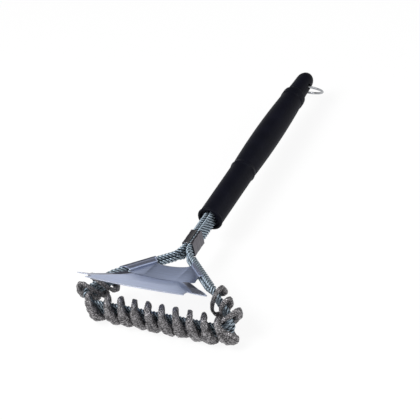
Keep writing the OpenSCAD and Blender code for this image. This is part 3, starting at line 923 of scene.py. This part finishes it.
SLEEVE_START, SLEEVE_END, SLEEVE_WALL = -30.0, -52.5, 0.8
SEAM_X, SEAM_HALF, LIP_RISE = 2.3, 1.2, 0.25
CRIMPS, CRIMP_DEPTH = (0.3, 0.7), 0.28
END_FLARE = 0.35


def rounded_box(half_w, half_d, radius):
    """Points round a rounded rectangle, counter-clockwise from its right side."""
    points = []
    for k, (cx, cz) in enumerate(((1, 1), (-1, 1), (-1, -1), (1, -1))):
        for a in np.linspace(k * math.pi / 2, (k + 1) * math.pi / 2, 6):
            points.append((cx * (half_w - radius) + radius * math.cos(a),
                           cz * (half_d - radius) + radius * math.sin(a)))
    return np.array(points)


class GRILLBRUSH_OT_sleeve(bpy.types.Operator):
    """Fold the neck sleeve round the six ropes"""
    bl_idname = "grillbrush.sleeve"
    bl_label = "Neck Sleeve"

    def execute(self, context):
        settings = context.scene.grillbrush_sheet
        finish = brushed_sheet("sleeve_steel", settings.sleeve, (900.0, 60.0, 900.0), 0.34)
        half_w, half_d = STACK_HALF_W + 0.1, STACK_HALF_D + 0.1
        outer = rounded_box(half_w + SLEEVE_WALL, half_d + SLEEVE_WALL, 1.6)
        inner = rounded_box(half_w, half_d, 0.8)
        # Open both loops at the seam on the scraper's side
        cut = int(np.argmin(np.abs(outer[:, 0] - half_w) + np.abs(outer[:, 1] - half_d))) + 3
        left_lip, right_lip = SEAM_X - SEAM_HALF, SEAM_X + SEAM_HALF
        outer, inner = (
            np.concatenate([[[left_lip, level]], np.roll(loop, -cut, axis=0),
                            [[right_lip, level]]])
            for loop, level in ((outer, half_d + SLEEVE_WALL + LIP_RISE), (inner, half_d)))
        rings = []
        for y in np.linspace(SLEEVE_START, SLEEVE_END, 28):
            along = (y - SLEEVE_START) / (SLEEVE_END - SLEEVE_START)
            crimp = sum(CRIMP_DEPTH * math.exp(-((along - at) / 0.05) ** 2) for at in CRIMPS)
            end = END_FLARE * (math.exp(-along / 0.04) + math.exp((along - 1) / 0.04))
            grown = outer.copy()
            grown[:, 0] += np.sign(grown[:, 0]) * (end - crimp) * (np.abs(grown[:, 0]) > half_w)
            loop = np.concatenate([grown, inner[::-1]])
            rings.append(np.stack([loop[:, 0], np.full(len(loop), y), loop[:, 1]], axis=1))
        count = len(rings[0])
        faces = grid_faces(len(rings), count).tolist()
        shell = len(outer)
        for start in (0, (len(rings) - 1) * count):
            for k in range(shell - 1):
                faces.append([start + k, start + k + 1, start + count - 2 - k,
                              start + count - 1 - k])
        tint = np.zeros((len(rings), count))
        tint[:, [0, shell - 1, shell, count - 1]] = 1.0
        piece = add_piece("neck_sleeve_sheet", np.concatenate(rings), faces, finish, "brush",
                          ["neck_sleeve"], tint)
        fix_normals(piece)
        round_edges(piece, 0.18)
        return {"FINISHED"}


# ---- Handle ----

GRIP_LENGTH, GRIP_BORE, CAP_BORE, CAP_BORE_Y = 255.0, 12.0, 10.02, 71.0
LIP_R, LIP_MIDDLE = 2.2, 13.0
COLLAR_Y, COLLAR_RISE = 92, 0.95
BELLY_Y, BELLY_END, BELLY_FALL = 162.5, 241.0, 2.2
GRIP_SIDES = 96
PARTING_RISE = 0.07


def lathe(outline, steps):
    """Rings round the handle's axis for pairs of radius and place along it."""
    turn = np.linspace(0, math.tau, steps, endpoint=False)
    r, y = outline[:, :1], outline[:, 1:] + 0 * turn
    return np.stack([r * np.cos(turn), y, r * np.sin(turn)], axis=-1), turn


def softened(outline, spacing, width):
    """The outline at even steps with its corners rounded over about the given width."""
    outline = np.asarray(outline, dtype=float)
    run = run_along(outline)
    s = np.linspace(0, run[-1], int(run[-1] / spacing) + 1)
    line = resample(s, run, outline)
    reach = max(1, int(round(width / spacing)))
    kernel = np.exp(-np.linspace(-2, 2, 2 * reach + 1) ** 2)
    kernel /= kernel.sum()
    padded = np.concatenate([np.repeat(line[:1], reach, 0), line, np.repeat(line[-1:], reach, 0)])
    soft = np.stack([np.convolve(padded[:, k], kernel, "valid") for k in range(2)], axis=1)
    soft[0], soft[-1] = line[0], line[-1]
    return soft


def grip_outline():
    """Radius and place of the grip's outside, from the lip at the mouth to the end."""
    lip = [(LIP_MIDDLE + LIP_R * math.sin(a), LIP_R - LIP_R * math.cos(a))
           for a in np.linspace(0.2, math.pi * 0.82, 12)]
    collar = [(14.75 + COLLAR_RISE * math.exp(-((y - COLLAR_Y) / 2.6) ** 2), y)
              for y in np.linspace(86, 98, 13)]
    belly = [(16.45 - BELLY_FALL * ((y - BELLY_Y) / (BELLY_END - BELLY_Y)) ** 2, y)
             for y in np.linspace(100, 239, 26)]
    rim = [(14.25, BELLY_END), (15.0, 243.2), (15.05, 250.0), (14.7, 253.0), (13.4, GRIP_LENGTH)]
    outside = [(12.9, 0.15), *lip, (14.4, 7.0), (14.7, 85.0), *collar, *belly, *rim]
    return softened(outside, 0.5, 1.1)


class GRILLBRUSH_OT_handle(bpy.types.Operator):
    """Mould the grip and give the core and the cap their finish"""
    bl_idname = "grillbrush.handle"
    bl_label = "Handle"

    def execute(self, context):
        settings = context.scene.grillbrush_handle
        plastic = moulded_plastic("handle_plastic", settings.plastic, 1400.0, 0.46)
        core = moulded_plastic("core_plastic", scaled(settings.plastic, 2), 900.0, 0.5)
        outline = grip_outline()
        inside = [(CAP_BORE, GRIP_LENGTH), (CAP_BORE, CAP_BORE_Y), (GRIP_BORE, CAP_BORE_Y),
                  (GRIP_BORE, 4.0), (12.8, 0.0)]
        loop = np.concatenate([outline, inside])
        rings, turn = lathe(loop, GRIP_SIDES)
        faces = grid_faces(len(loop), GRIP_SIDES, wrap_rows=True).tolist()
        # The mould's parting line stands a hair proud on both sides
        near = np.exp(-(np.sin(turn) / 0.03) ** 2)
        out = rings * np.array([1.0, 0.0, 1.0])
        out /= np.linalg.norm(out, axis=-1, keepdims=True)
        on_outside = np.zeros(len(loop))
        on_outside[8:len(outline) - 8] = 1.0
        rings = rings + out * (PARTING_RISE * near[None, :] * on_outside[:, None])[:, :, None]
        tint = on_outside[:, None] * near[None, :] * 0.35
        piece = add_piece("grip_shell", rings, faces, plastic, "brush",
                          ["handle_grip"], tint)
        fix_normals(piece)
        dress(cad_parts["handle_core"], core)
        dress(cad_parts["end_cap"], plastic)
        return {"FINISHED"}


class GRILLBRUSH_OT_ring(bpy.types.Operator):
    """Finish the hanging ring and the ferrule inside the handle"""
    bl_idname = "grillbrush.ring"
    bl_label = "Hanging Ring"

    def execute(self, context):
        dress(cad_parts["hanging_ring"], polished_wire(context.scene.grillbrush_handle.ring))
        # The ferrule shares the finish of the neck sleeve, which is made before
        dress(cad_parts["inner_ferrule"], bpy.data.materials["sleeve_steel"])
        return {"FINISHED"}


def dress(node, finish):
    """Puts a finish on every slot of a CAD node."""
    if not node.material_slots:
        node.data.materials.append(finish)
    for place in node.material_slots:
        place.material = finish


# ---- Stage ----

FLOOR_R, FLOOR_SIDES, FLOOR_GAP = 0.95, 96, 0.0002
FLOOR_WHITE = 0.9
LAMP_TARGET, FILL_SHARE = (0.0, -0.1, 0.0), 0.35
CAMERA_PLACE = (0.5772, -0.9152, 0.8180)


def add_floor(scene, settings):
    """A round floor, lit by the lamps and almost white by itself to the camera."""
    mesh = bpy.data.meshes.new("floor")
    low = CAD_BOX[0][2] - FLOOR_GAP
    turns = [math.tau * k / FLOOR_SIDES for k in range(FLOOR_SIDES)]
    rim = [(FLOOR_R * math.cos(a), FLOOR_R * math.sin(a), low) for a in turns]
    mesh.from_pydata(rim, [], [tuple(range(FLOOR_SIDES))])
    floor = bpy.data.objects.new("floor", mesh)
    scene.collection.objects.link(floor)
    f = Finish("floor")
    seen = f.node("ShaderNodeLightPath", out="Is Camera Ray")
    mask = seen.greatest(seen.output("Is Glossy Ray")) * FLOOR_WHITE
    plain = f.node("ShaderNodeBsdfDiffuse", inputs={"Color": (*settings.floor, 1.0)})
    white = f.node("ShaderNodeEmission")
    mesh.materials.append(f.done(f.node("ShaderNodeMixShader",
                                        inputs={0: mask, 1: plain, 2: white})))


def add_surroundings(scene, settings):
    """White to the camera; for the light, a studio with curtains."""
    f = Finish("Studio", "worlds", "ShaderNodeOutputWorld")
    height = f.node("ShaderNodeSeparateXYZ", inputs={"Vector": f.node(
        "ShaderNodeTexCoord", out="Generated")}, out="Z")
    across, back = height.output("X"), height.output("Y")
    # A dark curtain hangs all round, darkest behind the brush, under a wide soft light,
    # and a narrow one below it
    curtain = (0.8 + 0.2 * back.between(-0.3, 0.45)) * height.between(0.22, 0.5)
    curtain = curtain * (1 - height.between(0.88, 0.99))
    low_curtain = back.between(0.75, 0.98) * (1 - across.absolute().between(0.2, 0.45))
    level = 1.1 + 0.4 * height.between(0.5, 0.95)
    level = level * (1 - 0.9 * curtain) * (1 - 0.7 * low_curtain * (1 - curtain))
    sky = f.node("ShaderNodeBackground", inputs={"Strength": level * settings.sky})
    white = f.node("ShaderNodeBackground", inputs={"Color": (1, 1, 1, 1)})
    seen = f.node("ShaderNodeLightPath", out="Is Camera Ray")
    scene.world = f.done(f.node("ShaderNodeMixShader", inputs={0: seen, 1: sky, 2: white}))


def add_lamp(scene, name, place, size, power):
    """A square lamp that faces the brush."""
    light = bpy.data.lights.new(name, "AREA")
    light.size = size
    light.energy = power
    lamp = bpy.data.objects.new(name, light)
    lamp.location = place
    way = Vector(LAMP_TARGET) - Vector(place)
    lamp.rotation_euler = way.to_track_quat("-Z", "Y").to_euler()
    scene.collection.objects.link(lamp)


def add_camera(scene, settings):
    """The camera at its place, turned by its settings."""
    az, el, roll = settings.azimuth, settings.elevation, settings.roll
    back = Vector((math.sin(az) * math.cos(el), -math.cos(az) * math.cos(el), math.sin(el)))
    level_right = Vector((math.cos(az), math.sin(az), 0.0))
    level_up = back.cross(level_right)
    right = level_right * math.cos(roll) - level_up * math.sin(roll)
    up = back.cross(right)
    data = bpy.data.cameras.new("Camera")
    data.sensor_width = 36.0
    data.lens = settings.lens
    camera = bpy.data.objects.new("Camera", data)
    turn = Matrix((right, up, back)).transposed().to_4x4()
    camera.matrix_world = Matrix.Translation(Vector(CAMERA_PLACE)) @ turn
    scene.collection.objects.link(camera)
    scene.camera = camera


class GRILLBRUSH_OT_stage(bpy.types.Operator):
    """Set up the floor, the lamps, the surroundings and the camera"""
    bl_idname = "grillbrush.stage"
    bl_label = "Stage"

    def execute(self, context):
        scene = context.scene
        settings = scene.grillbrush_stage
        add_floor(scene, settings)
        add_surroundings(scene, settings)
        add_lamp(scene, "Key", (-0.75, -0.75, 1.5), 0.9, settings.key)
        add_lamp(scene, "Fill", (1.3, 0.3, 0.9), 1.0, settings.key * FILL_SHARE)
        add_camera(scene, settings)
        scene.view_settings.view_transform = "Standard"
        return {"FINISHED"}


# ---- Panel and registration ----


class GRILLBRUSH_PT_panel(bpy.types.Panel):
    """Sizes, colours and builders of the grill brush"""
    bl_label = "Grill Brush"
    bl_idname = "GRILLBRUSH_PT_panel"
    bl_space_type = "VIEW_3D"
    bl_region_type = "UI"
    bl_category = "Grill Brush"

    def draw(self, context):
        for name, kind in SETTINGS.items():
            box = self.layout.box()
            box.label(text=kind.__doc__)
            group = getattr(context.scene, name)
            for key in kind.__annotations__:
                box.prop(group, key)
        for operator in OPERATORS:
            self.layout.operator(operator.bl_idname)


SETTINGS = {
    "grillbrush_ropes": GrillBrushRopes,
    "grillbrush_mesh": GrillBrushMesh,
    "grillbrush_sheet": GrillBrushSheet,
    "grillbrush_handle": GrillBrushHandle,
    "grillbrush_stage": GrillBrushStage,
}
OPERATORS = (GRILLBRUSH_OT_ropes, GRILLBRUSH_OT_mesh, GRILLBRUSH_OT_scraper,
             GRILLBRUSH_OT_sleeve, GRILLBRUSH_OT_handle, GRILLBRUSH_OT_ring,
             GRILLBRUSH_OT_stage)


def register():
    for kind in (*SETTINGS.values(), *OPERATORS, GRILLBRUSH_PT_panel):
        bpy.utils.register_class(kind)
    for name, kind in SETTINGS.items():
        setattr(bpy.types.Scene, name, PointerProperty(type=kind))


def unregister():
    for name in SETTINGS:
        delattr(bpy.types.Scene, name)
    for kind in reversed((*SETTINGS.values(), *OPERATORS, GRILLBRUSH_PT_panel)):
        bpy.utils.unregister_class(kind)


def main():
    register()
    bpy.ops.grillbrush.ropes()
    bpy.ops.grillbrush.mesh()
    bpy.ops.grillbrush.scraper()
    bpy.ops.grillbrush.sleeve()
    bpy.ops.grillbrush.handle()
    bpy.ops.grillbrush.ring()
    bpy.ops.grillbrush.stage()


if __name__ == "__main__":
    main()
